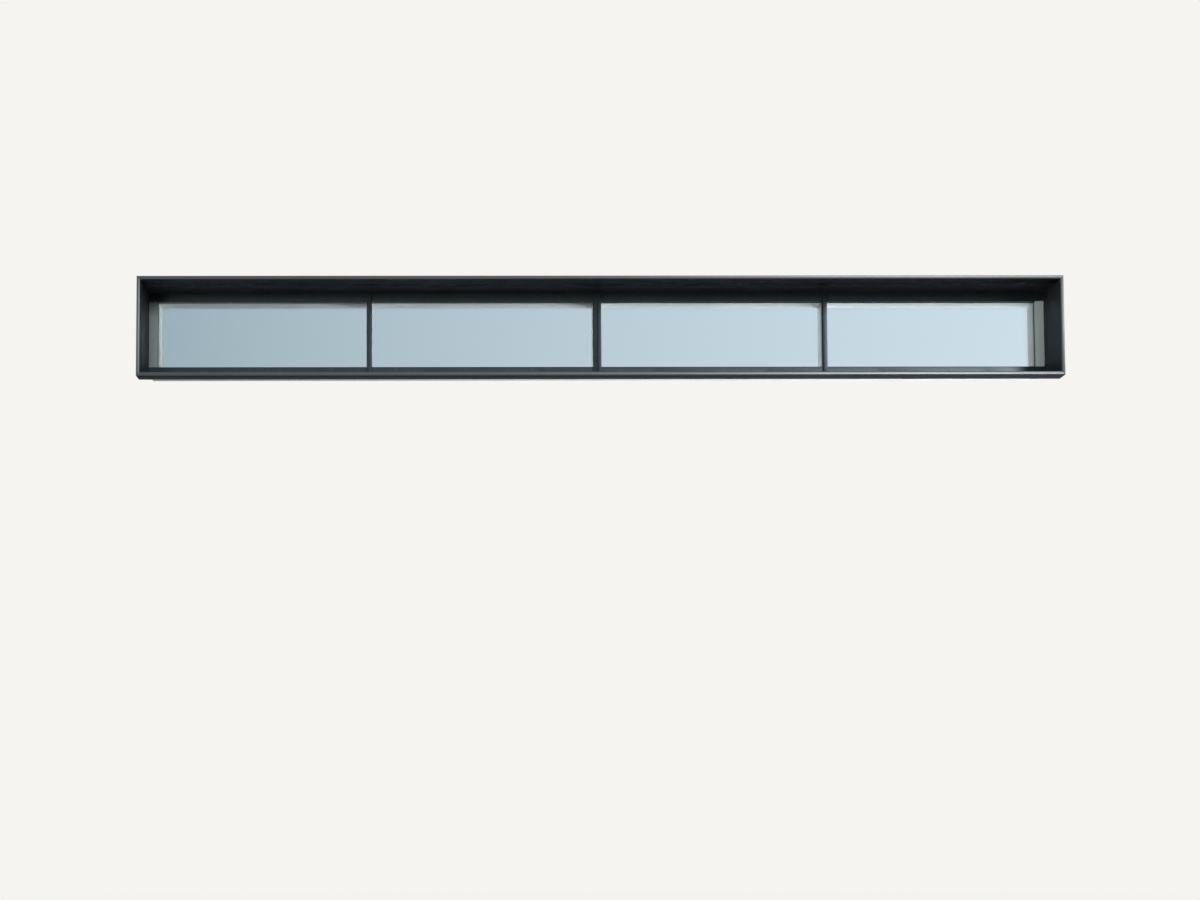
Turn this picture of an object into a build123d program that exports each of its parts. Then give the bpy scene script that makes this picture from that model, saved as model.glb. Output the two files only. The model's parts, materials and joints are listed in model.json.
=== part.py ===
from build123d import *
import os

# Clerestory window of four fixed double-glazed lights. A capped aluminium frame stands at the
# back of a folded aluminium box surround. Millimetres, +Z up. The outside faces -Y, X runs along
# the window, and the origin is under the middle of the overall box.

os.makedirs("parts", exist_ok=True)

# Surround: four folded sheets with a narrow front lip
overall_length = 4200
overall_height = 456
lip_width = 16
sheet = 3
fold_radius = 1.5
reveal_depth = 300
outer_skin_depth = 110
return_flange = 6
sill_rise = 42
sill_shelf_front = 30
frame_overlap = 85
frame_gap = 2
cleat_leg = 60
cleat_depth = 60
cleat_front = 15
cleat_thickness = 6

# Frame members, their seen widths and depths
frame_depth = 160
rail_face = 36
jamb_face = 40
mullion_face = 20
centre_face = 36
mullion_pitch = 1060
box_wall = 3
cap_depth = 12
cap_front_wall = 2
cap_side_wall = 1.5
cap_edge_radius = 0.8
cap_hook = 1
cap_play = 0.3
mullion_cap_stand = 10
centre_rib_stand = 10
centre_rib_width = 15
plate_thickness = 3
weep_width = 25
weep_height = 5

# Screw chases and isolators in the glass pocket
chase_depth = 17
edge_chase_inset = 4
edge_chase_width = 14
mullion_chase_width = 6

# Glass units, their gaskets and setting blocks
pane_thickness = 6
pane_arris = 0.5
cavity_depth = 16
edge_bite = 12
mullion_bite = 5.5
spacer_width = 6
edge_seal_width = 3
outer_gasket_thickness = 2
inner_gasket_thickness = 5
gasket_width = 4.5
gasket_inset = 1
gasket_root_inset = 3
gasket_root_width = 2
setting_block_length = 100
perimeter_seal_depth = 8
perimeter_seal_recess = 1

# Screws that hold the pressure plates
plate_screw_diameter = 3.5
plate_screw_play = 0.5
plate_screw_length = 38
plate_screw_head = 8
plate_screw_head_height = 2.5
plate_screw_socket = 3
plate_screw_socket_depth = 1.5
rail_screw_count = 14
rail_screw_end = 91
post_screw_end = 50

# Screws through the surround and the straps into the frame
side_screw_diameter = 4
side_screw_play = 0.5
side_screw_length = 11
side_screw_head = 8
side_screw_head_height = 2.5
skin_screw_depth = 70
skin_screw_count = 7
skin_screw_end = 162

# Fixing straps on the outside of the frame, a row on its head and a pair on each jamb
strap_width = 40
strap_thickness = 3
strap_start = 95
strap_overhang = 60
strap_corner_radius = 8
head_strap_count = 6
head_strap_end = 182
jamb_strap_end = 92
strap_screw_inset = 12
strap_screw_pitch = 35
anchor_hole = 9
anchor_hole_end = 20

# Places that follow from the sizes above
overall_depth = reveal_depth + frame_depth + strap_overhang
front_y = -overall_depth / 2
back_y = overall_depth / 2
face_y = front_y + reveal_depth
skin_back_y = face_y + frame_overlap
half_length = overall_length / 2
reveal_half = half_length - lip_width
frame_half = reveal_half - frame_gap
frame_bottom = lip_width + sill_rise
frame_top = overall_height - lip_width - frame_gap
sight_bottom = frame_bottom + rail_face
sight_top = frame_top - rail_face
middle_z = (frame_bottom + frame_top) / 2

# Depths of the layers behind the face of the frame
plate_back = cap_depth - cap_hook
plate_front = plate_back - plate_thickness
plate_inset = cap_side_wall + cap_play
glass_front = cap_depth + outer_gasket_thickness
cavity_front = glass_front + pane_thickness
cavity_back = cavity_front + cavity_depth
glass_back = cavity_back + pane_thickness
box_front = glass_back + inner_gasket_thickness
chase_front = box_front - chase_depth

# Screw chase of a perimeter member, measured inward from its outside face
edge_line = edge_chase_inset + edge_chase_width / 2
edge_chase_inner = edge_chase_inset + edge_chase_width
pocket_bottom = frame_bottom + edge_chase_inner

# Perimeter members: name, outside face, direction inward
rails = [("head", frame_top, -1), ("sill", frame_bottom, 1)]
jambs = [("jamb_left", -frame_half, 1), ("jamb_right", frame_half, -1)]

# Mullions from left to right: name, middle, seen width, how far the glass runs in under the cap
mullions = [
    ("mullion_left", -mullion_pitch, mullion_face, mullion_bite),
    ("mullion_centre", 0, centre_face, edge_bite),
    ("mullion_right", mullion_pitch, mullion_face, mullion_bite),
]

# Lights from left to right: sight lines and glass edges, as low and high X
light_lows = [(jamb_face - frame_half, edge_bite)]
light_lows += [(middle + face / 2, bite) for name, middle, face, bite in mullions]
light_highs = [(middle - face / 2, bite) for name, middle, face, bite in mullions]
light_highs += [(frame_half - jamb_face, edge_bite)]
lights = [
    (low, high, low - low_bite, high + high_bite)
    for (low, low_bite), (high, high_bite) in zip(light_lows, light_highs)
]
glass_bottom = sight_bottom - edge_bite
glass_top = sight_top + edge_bite

# Screw places: rail screws along both rails, post screws up each jamb and mullion
rail_screw_pitch = 2 * (frame_half - rail_screw_end) / (rail_screw_count - 1)
rail_screw_x = [rail_screw_end - frame_half + step * rail_screw_pitch for step in range(rail_screw_count)]
rail_screw_z = [frame_bottom + edge_line, frame_top - edge_line]
post_screw_x = [edge_line - frame_half, frame_half - edge_line]
post_screw_x += [middle for name, middle, face, bite in mullions]
post_screw_z = [sight_bottom + post_screw_end, sight_top - post_screw_end]
plate_screw_points = [(x, z) for x in rail_screw_x for z in rail_screw_z]
plate_screw_points += [(x, z) for x in post_screw_x for z in post_screw_z]
plate_hole = plate_screw_diameter + plate_screw_play

# Screws from outside the frame: through the reveal skins, and through the straps
skin_screw_pitch = 2 * (frame_half - skin_screw_end) / (skin_screw_count - 1)
skin_screw_x = [skin_screw_end - frame_half + step * skin_screw_pitch for step in range(skin_screw_count)]
skin_screw_y = face_y + skin_screw_depth
skin_screw_points = [(x, skin_screw_y) for x in skin_screw_x]
head_strap_pitch = 2 * (frame_half - head_strap_end) / (head_strap_count - 1)
head_strap_x = [head_strap_end - frame_half + step * head_strap_pitch for step in range(head_strap_count)]
jamb_strap_z = [frame_bottom + jamb_strap_end, frame_top - jamb_strap_end]
strap_middle_y = (face_y + strap_start + back_y) / 2
strap_length = back_y - face_y - strap_start
strap_screw_front = face_y + strap_start + strap_screw_inset
strap_screw_y = [strap_screw_front, strap_screw_front + strap_screw_pitch]
head_strap_screws = [(x, y) for x in head_strap_x for y in strap_screw_y]
jamb_strap_screws = [(y, z) for y in strap_screw_y for z in jamb_strap_z]
anchor_y = back_y - anchor_hole_end
side_hole = side_screw_diameter + side_screw_play


def facing_plane(depth):
    """Plane parallel to the glass, this deep behind the face of the frame, X to the right."""
    return Plane.XZ.offset(-(face_y + depth))


def span(low_u, high_u, low_v, high_v, mode=Mode.ADD):
    """Rectangle between two values on each axis of the sketch."""
    with Locations(((low_u + high_u) / 2, (low_v + high_v) / 2)):
        Rectangle(high_u - low_u, high_v - low_v, mode=mode)


def rail_span(outer, away, near, far, front, back, mode=Mode.ADD):
    """Rectangle of a rail's section. near and far run inward from its outside face at height
    `outer`, the way of `away`, and front and back are depths behind the face of the frame."""
    low, high = sorted((outer + away * near, outer + away * far))
    span(face_y + front, face_y + back, low, high, mode=mode)


def post_span(outer, away, near, far, front, back, mode=Mode.ADD):
    """The same for an upright member, with its outside face at the X value `outer`."""
    low, high = sorted((outer + away * near, outer + away * far))
    span(low, high, face_y + front, face_y + back, mode=mode)


def box_section(member_span, outer, away, face, chase_near, chase_width):
    """Hollow box behind the glass with its screw chase in the glass pocket in front."""
    chase_far = chase_near + chase_width
    slot_near = chase_near + (chase_width - plate_screw_diameter) / 2
    slot_far = slot_near + plate_screw_diameter
    hollow_back = frame_depth - box_wall
    member_span(outer, away, 0, face, box_front, frame_depth)
    member_span(outer, away, box_wall, face - box_wall, box_front + box_wall, hollow_back, Mode.SUBTRACT)
    member_span(outer, away, chase_near, chase_far, chase_front, box_front)
    member_span(outer, away, slot_near, slot_far, chase_front, box_front, Mode.SUBTRACT)


def cap_section(member_span, outer, away, face, front):
    """Snap-on cover cap: a channel, open to the glass, with a hook along each edge. `front` is
    where its seen face stands, and is negative for a cap that stands forward of the rails."""
    hollow_far = face - cap_side_wall
    member_span(outer, away, 0, face, front, cap_depth)
    hollow_front = front + cap_front_wall
    member_span(outer, away, cap_side_wall, hollow_far, hollow_front, plate_back, Mode.SUBTRACT)
    hook_near = cap_side_wall + cap_hook
    member_span(outer, away, hook_near, hollow_far - cap_hook, plate_back, cap_depth, Mode.SUBTRACT)


def front_corners(sketch, front, depth_axis):
    """Corners of a cap's section on its seen face."""
    return [
        corner
        for corner in sketch.vertices()
        if abs((corner.X, corner.Y)[depth_axis] - face_y - front) < cap_edge_radius / 10
    ]


def skin_path(first, away, reveal_leaf):
    """Outer face of a folded skin: the reveal leaf from its back, then the lip, outer leaf and return
    flange. The first value is depth, and the second runs from the outside face at `first`, the way
    of `away`."""
    path = [
        *reveal_leaf,
        (front_y, lip_width),
        (front_y, 0),
        (front_y + outer_skin_depth, 0),
        (front_y + outer_skin_depth, sheet + return_flange),
    ]
    return [(depth, first + away * inward) for depth, inward in path]


def mitre(side, end, of_rail):
    """Plane of a mitred corner of the surround, facing away from the rail or from the jamb."""
    corner_z = overall_height if end > 0 else 0
    outward = (side, 0, -end) if of_rail else (-side, 0, end)
    return Plane(origin=(side * half_length, 0, corner_z), x_dir=(0, 1, 0), z_dir=outward)


def write(piece, name):
    """Labels a finished piece and writes it under its name."""
    piece.part.label = name
    export_step(piece.part, f"parts/{name}.step")


# Head of the surround
level_leaf = [(skin_back_y, lip_width)]
with BuildPart() as surround_head:
    with BuildSketch(Plane.YZ.offset(-half_length)):
        with BuildLine():
            FilletPolyline(*skin_path(overall_height, -1, level_leaf), radius=fold_radius + sheet)
            offset(amount=sheet, side=Side.RIGHT)
        make_face()
    extrude(amount=overall_length)
    for side in (-1, 1):
        split(bisect_by=mitre(side, 1, True), keep=Keep.BOTTOM)
    with BuildSketch(Plane.XY.offset(overall_height - lip_width)):
        with Locations(*skin_screw_points):
            Circle(side_hole / 2)
    extrude(amount=sheet, mode=Mode.SUBTRACT)
write(surround_head, "surround_head")

# Jambs of the surround
for name, side, inside in (("surround_jamb_left", -1, Side.RIGHT), ("surround_jamb_right", 1, Side.LEFT)):
    jamb_path = [(x, depth) for depth, x in skin_path(side * half_length, -side, level_leaf)]
    with BuildPart() as surround_jamb:
        with BuildSketch():
            with BuildLine():
                FilletPolyline(*jamb_path, radius=fold_radius + sheet)
                offset(amount=sheet, side=inside)
            make_face()
        extrude(amount=overall_height)
        for end in (-1, 1):
            split(bisect_by=mitre(side, end, False), keep=Keep.BOTTOM)
        # Screw hole, and the lower end of the reveal leaf cut along the underside of the sill's leaf
        with BuildSketch(Plane.YZ.offset(side * reveal_half)):
            with Locations((skin_screw_y, middle_z)):
                Circle(side_hole / 2)
            with BuildLine():
                Polyline(
                    (front_y, 0),
                    (front_y, lip_width - sheet),
                    (face_y - sill_shelf_front, frame_bottom - sheet),
                    (skin_back_y, frame_bottom - sheet),
                    (skin_back_y, 0),
                    close=True,
                )
            make_face()
        extrude(amount=side * sheet, mode=Mode.SUBTRACT)
    write(surround_jamb, name)

# Sill of the surround, whose reveal leaf is a sloped weathering and a level shelf under the frame
sill_leaf = [(skin_back_y, frame_bottom), (face_y - sill_shelf_front, frame_bottom)]
with BuildPart() as surround_sill:
    with BuildSketch(Plane.YZ.offset(-half_length)):
        with BuildLine():
            FilletPolyline(*skin_path(0, 1, sill_leaf), radius=fold_radius + sheet)
            offset(amount=sheet, side=Side.LEFT)
        make_face()
    extrude(amount=overall_length)
    # Ends: mitred under the lip, square between the reveal leaves
    with BuildSketch(Plane.XZ.offset(-skin_back_y)):
        with BuildLine():
            Polyline(
                (-half_length, 0),
                (half_length, 0),
                (reveal_half, lip_width),
                (reveal_half, frame_bottom),
                (-reveal_half, frame_bottom),
                (-reveal_half, lip_width),
                close=True,
            )
        make_face()
    extrude(amount=reveal_depth + frame_overlap, mode=Mode.INTERSECT)
    with BuildSketch(Plane.XY.offset(frame_bottom)):
        with Locations(*skin_screw_points):
            Circle(side_hole / 2)
    extrude(amount=-sheet, mode=Mode.SUBTRACT)
write(surround_sill, "surround_sill")

# Corner cleats, bonded to the outer skins inside the surround
with BuildPart() as corner_cleats:
    with BuildSketch(Plane.XZ.offset(-front_y - cleat_front)):
        for side in (-1, 1):
            for end in (-1, 1):
                corner_x = side * (half_length - sheet)
                corner_z = overall_height / 2 + end * (overall_height / 2 - sheet)
                with BuildLine():
                    Polyline(
                        (corner_x, corner_z),
                        (corner_x - side * cleat_leg, corner_z),
                        (corner_x - side * cleat_leg, corner_z - end * cleat_thickness),
                        (corner_x - side * cleat_thickness, corner_z - end * cleat_thickness),
                        (corner_x - side * cleat_thickness, corner_z - end * cleat_leg),
                        (corner_x, corner_z - end * cleat_leg),
                        close=True,
                    )
                make_face()
    extrude(amount=-cleat_depth)
write(corner_cleats, "corner_cleats")

# Sealant in the joint between the frame and the reveal, which stops at the shelf
with BuildPart() as perimeter_seal:
    with BuildSketch(facing_plane(perimeter_seal_recess)):
        span(-reveal_half, reveal_half, frame_bottom, frame_top + frame_gap)
        span(-frame_half, frame_half, frame_bottom, frame_top, mode=Mode.SUBTRACT)
    extrude(amount=-perimeter_seal_depth)
write(perimeter_seal, "perimeter_seal")

# Inner boxes of the head and the sill, which run the whole length
for name, outer, away in rails:
    with BuildPart() as inner_box:
        with BuildSketch(Plane.YZ.offset(-frame_half)):
            box_section(rail_span, outer, away, rail_face, edge_chase_inset, edge_chase_width)
        extrude(amount=2 * frame_half)
        strap_points = head_strap_screws if name == "head" else []
        with BuildSketch(Plane.XY.offset(outer)):
            with Locations(*skin_screw_points, *strap_points):
                Circle(side_screw_diameter / 2)
        extrude(amount=away * box_wall, mode=Mode.SUBTRACT)
    write(inner_box, f"inner_{name}")

# Inner boxes of the jambs, between the head and the sill
for name, outer, away in jambs:
    with BuildPart() as inner_box:
        with BuildSketch(Plane.XY.offset(sight_bottom)):
            box_section(post_span, outer, away, jamb_face, edge_chase_inset, edge_chase_width)
        extrude(amount=sight_top - sight_bottom)
        with BuildSketch(Plane.YZ.offset(outer)):
            with Locations((skin_screw_y, middle_z), *jamb_strap_screws):
                Circle(side_screw_diameter / 2)
        extrude(amount=away * box_wall, mode=Mode.SUBTRACT)
    write(inner_box, f"inner_{name}")

# Inner boxes of the mullions
for name, middle, face, bite in mullions:
    with BuildPart() as inner_box:
        with BuildSketch(Plane.XY.offset(sight_bottom)):
            chase_near = (face - mullion_chase_width) / 2
            box_section(post_span, middle - face / 2, 1, face, chase_near, mullion_chase_width)
        extrude(amount=sight_top - sight_bottom)
    write(inner_box, f"inner_{name}")

# Isolators between the chases and the pressure plates
for name, outer, away in rails:
    with BuildPart() as edge_isolator:
        with BuildSketch(Plane.YZ.offset(-frame_half)):
            rail_span(outer, away, edge_chase_inset, edge_chase_inner, plate_back, chase_front)
        extrude(amount=2 * frame_half)
        with BuildSketch(facing_plane(plate_back)):
            with Locations(*[(x, outer + away * edge_line) for x in rail_screw_x]):
                Circle(plate_hole / 2)
        extrude(amount=plate_back - chase_front, mode=Mode.SUBTRACT)
    write(edge_isolator, f"isolator_{name}")

for name, outer, away in jambs:
    with BuildPart() as edge_isolator:
        with BuildSketch(Plane.XY.offset(sight_bottom)):
            post_span(outer, away, edge_chase_inset, edge_chase_inner, plate_back, chase_front)
        extrude(amount=sight_top - sight_bottom)
        with BuildSketch(facing_plane(plate_back)):
            with Locations(*[(outer + away * edge_line, z) for z in post_screw_z]):
                Circle(plate_hole / 2)
        extrude(amount=plate_back - chase_front, mode=Mode.SUBTRACT)
    write(edge_isolator, f"isolator_{name}")

with BuildPart() as mullion_isolators:
    with BuildSketch(facing_plane(plate_back)):
        for name, middle, face, bite in mullions:
            half = mullion_chase_width / 2
            span(middle - half, middle + half, sight_bottom, sight_top)
            with Locations(*[(middle, z) for z in post_screw_z]):
                Circle(plate_hole / 2, mode=Mode.SUBTRACT)
    extrude(amount=plate_back - chase_front)
write(mullion_isolators, "mullion_isolators")

# Pressure plates: two rails, two jambs, two side mullions and the wide middle one
plate_half = frame_half - plate_inset
with BuildPart() as rail_pressure_plates:
    with BuildSketch(facing_plane(plate_front)):
        for name, outer, away in rails:
            low, high = sorted((outer + away * plate_inset, outer + away * (rail_face - plate_inset)))
            span(-plate_half, plate_half, low, high)
        with Locations(*[(x, z) for x in rail_screw_x for z in rail_screw_z]):
            Circle(plate_hole / 2, mode=Mode.SUBTRACT)
    extrude(amount=-plate_thickness)
write(rail_pressure_plates, "rail_pressure_plates")

post_plates = {
    "jamb_pressure_plates": [
        (outer + away * jamb_face / 2, outer + away * edge_line, jamb_face) for name, outer, away in jambs
    ],
    "mullion_pressure_plates": [(-mullion_pitch, -mullion_pitch, mullion_face)]
    + [(mullion_pitch, mullion_pitch, mullion_face)],
    "centre_pressure_plate": [(0, 0, centre_face)],
}
for plate_name, plates in post_plates.items():
    with BuildPart() as post_plate:
        with BuildSketch(facing_plane(plate_front)):
            for middle, screw_x, face in plates:
                half = face / 2 - plate_inset
                span(middle - half, middle + half, sight_bottom + cap_play, sight_top - cap_play)
                with Locations(*[(screw_x, z) for z in post_screw_z]):
                    Circle(plate_hole / 2, mode=Mode.SUBTRACT)
        extrude(amount=-plate_thickness)
    write(post_plate, plate_name)

# Cover caps of the head and the sill. Water drains from the sill's cap through weep notches.
weep_x = [edge_low + (edge_high - edge_low) * share for low, high, edge_low, edge_high in lights
          for share in (1 / 4, 3 / 4)]
for name, outer, away in rails:
    with BuildPart() as cap:
        with BuildSketch(Plane.YZ.offset(-frame_half)) as cap_sketch:
            cap_section(rail_span, outer, away, rail_face, 0)
            fillet(front_corners(cap_sketch, 0, 0), radius=cap_edge_radius)
        extrude(amount=2 * frame_half)
        if name == "sill":
            with BuildSketch(facing_plane(0)):
                for x in weep_x:
                    half = weep_width / 2
                    span(x - half, x + half, frame_bottom, frame_bottom + weep_height)
            extrude(amount=-plate_front, mode=Mode.SUBTRACT)
    write(cap, f"cap_{name}")

# Cover caps of the jambs
for name, outer, away in jambs:
    with BuildPart() as cap:
        with BuildSketch(Plane.XY.offset(sight_bottom)) as cap_sketch:
            cap_section(post_span, outer, away, jamb_face, 0)
            fillet(front_corners(cap_sketch, 0, 1), radius=cap_edge_radius)
        extrude(amount=sight_top - sight_bottom)
    write(cap, f"cap_{name}")

# Cover caps of the mullions, which lap over the caps of the head and the sill
for name, middle, face, bite in mullions:
    outer = middle - face / 2
    with BuildPart() as cap:
        with BuildSketch(Plane.XY.offset(frame_bottom)) as cap_sketch:
            cap_section(post_span, outer, 1, face, -mullion_cap_stand)
            if name == "mullion_centre":
                # Forward rib along the right-hand side
                rib_front = -mullion_cap_stand - centre_rib_stand
                rib_near = face - centre_rib_width
                post_span(outer, 1, rib_near, face, rib_front, -mullion_cap_stand)
                post_span(
                    outer,
                    1,
                    rib_near + cap_side_wall,
                    face - cap_side_wall,
                    rib_front + cap_front_wall,
                    cap_front_wall - mullion_cap_stand,
                    Mode.SUBTRACT,
                )
                fillet(front_corners(cap_sketch, rib_front, 1), radius=cap_edge_radius)
            fillet(
                [c for c in front_corners(cap_sketch, -mullion_cap_stand, 1) if c.X < outer + cap_side_wall],
                radius=cap_edge_radius,
            )
            if name != "mullion_centre":
                fillet(
                    [c for c in front_corners(cap_sketch, -mullion_cap_stand, 1) if c.X > middle],
                    radius=cap_edge_radius,
                )
        extrude(amount=frame_top - frame_bottom)
        with BuildSketch(facing_plane(0)):
            span(outer, outer + face, frame_bottom, sight_bottom)
            span(outer, outer + face, sight_top, frame_top)
        extrude(amount=-cap_depth, mode=Mode.SUBTRACT)
    write(cap, f"cap_{name}")

# Glass units
for number, (low, high, edge_low, edge_high) in enumerate(lights, start=1):
    for name, depth in (("outer_pane", glass_front), ("inner_pane", cavity_back)):
        with BuildPart() as pane:
            with BuildSketch(facing_plane(depth)):
                span(edge_low, edge_high, glass_bottom, glass_top)
            extrude(amount=-pane_thickness)
            chamfer(pane.edges(), length=pane_arris)
        write(pane, f"{name}_{number}")
    spacer_outer = edge_seal_width
    spacer_inner = edge_seal_width + spacer_width
    for name, near, far in (("edge_seal", 0, spacer_outer), ("spacer", spacer_outer, spacer_inner)):
        with BuildPart() as edge_ring:
            with BuildSketch(facing_plane(cavity_front)):
                span(edge_low + near, edge_high - near, glass_bottom + near, glass_top - near)
                span(edge_low + far, edge_high - far, glass_bottom + far, glass_top - far, Mode.SUBTRACT)
            extrude(amount=-cavity_depth)
        write(edge_ring, f"{name}_{number}")

    # Gaskets round the light, under the caps and on the inner boxes
    gasket_far = gasket_inset + gasket_width
    root_far = gasket_root_inset + gasket_root_width
    with BuildPart() as outer_gasket:
        with BuildSketch(facing_plane(cap_depth)):
            span(low - gasket_far, high + gasket_far, sight_bottom - gasket_far, sight_top + gasket_far)
            span(
                low - gasket_inset,
                high + gasket_inset,
                sight_bottom - gasket_inset,
                sight_top + gasket_inset,
                Mode.SUBTRACT,
            )
        extrude(amount=-outer_gasket_thickness)
        with BuildSketch(facing_plane(plate_back)):
            for edge in (low - root_far, high + gasket_root_inset):
                span(edge, edge + gasket_root_width, sight_bottom, sight_top)
            for edge in (sight_bottom - root_far, sight_top + gasket_root_inset):
                span(low, high, edge, edge + gasket_root_width)
        extrude(amount=-cap_hook)
    write(outer_gasket, f"outer_gasket_{number}")
    with BuildPart() as inner_gasket:
        with BuildSketch(facing_plane(glass_back)):
            span(low - gasket_far, high + gasket_far, sight_bottom - gasket_far, sight_top + gasket_far)
            span(
                low - gasket_inset,
                high + gasket_inset,
                sight_bottom - gasket_inset,
                sight_top + gasket_inset,
                Mode.SUBTRACT,
            )
        extrude(amount=-inner_gasket_thickness)
    write(inner_gasket, f"inner_gasket_{number}")

# Setting blocks at the quarter points of each unit
with BuildPart() as setting_blocks:
    with BuildSketch(facing_plane(glass_front)):
        for x in weep_x:
            half = setting_block_length / 2
            span(x - half, x + half, pocket_bottom, glass_bottom)
    extrude(amount=glass_front - glass_back)
write(setting_blocks, "setting_blocks")

# Screws of the pressure plates, with a hexagon socket
with BuildPart() as plate_screws:
    with BuildSketch(facing_plane(plate_front)):
        with Locations(*plate_screw_points):
            Circle(plate_screw_head / 2)
    extrude(amount=plate_screw_head_height)
    with BuildSketch(facing_plane(plate_front)):
        with Locations(*plate_screw_points):
            Circle(plate_screw_diameter / 2)
    extrude(amount=-plate_screw_length)
    with BuildSketch(facing_plane(plate_front - plate_screw_head_height)):
        with Locations(*plate_screw_points):
            RegularPolygon(plate_screw_socket / 2, 6, major_radius=False)
    extrude(amount=-plate_screw_socket_depth, mode=Mode.SUBTRACT)
write(plate_screws, "plate_screws")

# Screws through the reveal skins into the boxes: head, sill, then one in each jamb
side_screw_steps = [
    (side_screw_diameter / 2, side_screw_length),
    (side_screw_head / 2, -side_screw_head_height),
]
with BuildPart() as surround_screws:
    for level, away in ((frame_top + frame_gap + sheet, -1), (frame_bottom - sheet, 1)):
        for radius, length in side_screw_steps:
            with BuildSketch(Plane.XY.offset(level)):
                with Locations(*skin_screw_points):
                    Circle(radius)
            extrude(amount=away * length)
    for side in (-1, 1):
        for radius, length in side_screw_steps:
            with BuildSketch(Plane.YZ.offset(side * (reveal_half + sheet))):
                with Locations((skin_screw_y, middle_z)):
                    Circle(radius)
            extrude(amount=-side * length)
write(surround_screws, "surround_screws")

# Fixing straps on the head and the jambs of the frame
with BuildPart() as head_straps:
    with BuildSketch(Plane.XY.offset(frame_top)) as strap_sketch:
        with Locations(*[(x, strap_middle_y) for x in head_strap_x]):
            Rectangle(strap_width, strap_length)
        fillet(strap_sketch.vertices().group_by(Axis.Y)[-1], radius=strap_corner_radius)
        with Locations(*head_strap_screws):
            Circle(side_hole / 2, mode=Mode.SUBTRACT)
        with Locations(*[(x, anchor_y) for x in head_strap_x]):
            Circle(anchor_hole / 2, mode=Mode.SUBTRACT)
    extrude(amount=strap_thickness)
write(head_straps, "head_straps")

with BuildPart() as jamb_straps:
    for side in (-1, 1):
        with BuildSketch(Plane.YZ.offset(side * frame_half)) as strap_sketch:
            with Locations(*[(strap_middle_y, z) for z in jamb_strap_z]):
                Rectangle(strap_length, strap_width)
            fillet(strap_sketch.vertices().group_by(Axis.X)[-1], radius=strap_corner_radius)
            with Locations(*jamb_strap_screws):
                Circle(side_hole / 2, mode=Mode.SUBTRACT)
            with Locations(*[(anchor_y, z) for z in jamb_strap_z]):
                Circle(anchor_hole / 2, mode=Mode.SUBTRACT)
        extrude(amount=side * strap_thickness)
write(jamb_straps, "jamb_straps")

# Screws of the straps
with BuildPart() as strap_screws:
    for radius, length in side_screw_steps:
        with BuildSketch(Plane.XY.offset(frame_top + strap_thickness)):
            with Locations(*head_strap_screws):
                Circle(radius)
        extrude(amount=-length)
        for side in (-1, 1):
            with BuildSketch(Plane.YZ.offset(side * (frame_half + strap_thickness))):
                with Locations(*jamb_strap_screws):
                    Circle(radius)
            extrude(amount=-side * length)
write(strap_screws, "strap_screws")
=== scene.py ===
import json
import math

import bmesh
import bpy
from bpy.props import FloatProperty, FloatVectorProperty, PointerProperty
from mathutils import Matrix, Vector


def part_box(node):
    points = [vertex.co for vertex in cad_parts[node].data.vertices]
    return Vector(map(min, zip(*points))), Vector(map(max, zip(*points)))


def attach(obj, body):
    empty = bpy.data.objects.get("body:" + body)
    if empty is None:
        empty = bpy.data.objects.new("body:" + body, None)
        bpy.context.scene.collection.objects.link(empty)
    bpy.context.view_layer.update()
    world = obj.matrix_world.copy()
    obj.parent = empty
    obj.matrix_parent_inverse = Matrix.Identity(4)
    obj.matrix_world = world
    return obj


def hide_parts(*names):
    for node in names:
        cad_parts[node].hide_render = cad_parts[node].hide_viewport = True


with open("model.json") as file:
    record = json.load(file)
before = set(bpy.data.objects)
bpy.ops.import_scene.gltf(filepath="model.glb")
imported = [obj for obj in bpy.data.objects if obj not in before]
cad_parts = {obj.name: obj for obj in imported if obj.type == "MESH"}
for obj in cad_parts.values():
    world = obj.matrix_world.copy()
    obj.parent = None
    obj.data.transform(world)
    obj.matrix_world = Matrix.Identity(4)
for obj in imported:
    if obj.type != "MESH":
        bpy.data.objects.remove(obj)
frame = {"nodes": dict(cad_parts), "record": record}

bl_info = {
    "name": "Clerestory window",
    "version": (1, 0, 0),
    "blender": (4, 5, 0),
    "location": "View3D > Sidebar > Window",
    "description": "Models and finishes a clerestory window with its frame and surround, and its stage",
    "category": "Object",
}

MM = 0.001
# Places closer than this count as one
TOUCH = 0.2 * MM
# Length that a folded sheet is drawn past its ends, before they are cut
SPARE = 20 * MM
# Gap left where one piece ends against another
HAIRLINE = 0.2 * MM
FOLD_SEGMENTS = 4

# Corners of the nodes that the pieces are set against, and the depth where the inner boxes begin
HEAD_LOW, HEAD_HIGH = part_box("surround_head")
SILL_LOW, SILL_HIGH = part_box("surround_sill")
CAP_LOW, CAP_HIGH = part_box("cap_head")
BOX_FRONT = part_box("inner_gasket_1")[1].y
LIGHTS = (1, 2, 3, 4)

# The finish of each material slot in the record. The jambs' caps have one of their own.
FINISHES = {
    "surround_paint": "anthracite_flake_powder_coat",
    "cap_paint": "slate_grey_powder_coat",
    "inner_paint": "white_powder_coat",
    "glass": "toughened_float_glass",
    "spacer_metal": "roll_formed_aluminium",
    "edge_sealant": "edge_sealant_compound",
    "gasket_rubber": "extruded_rubber",
    "joint_sealant": "tooled_silicone",
    "mill_aluminium": "mill_finish_aluminium",
    "isolator_plastic": "glass_filled_polyamide",
    "block_plastic": "moulded_polypropylene",
    "screw_steel": "stainless_steel",
    "strap_steel": "zinc_coated_steel",
}
JAMB_CAP_FINISH = "silver_grey_powder_coat"


def linear(code):
    """Linear colour of an sRGB hex code."""
    parts = [int(code[place:place + 2], 16) / 255 for place in (1, 3, 5)]
    return tuple(
        part / 12.92 if part <= 0.04045 else ((part + 0.055) / 1.055) ** 2.4 for part in parts
    )


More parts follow.
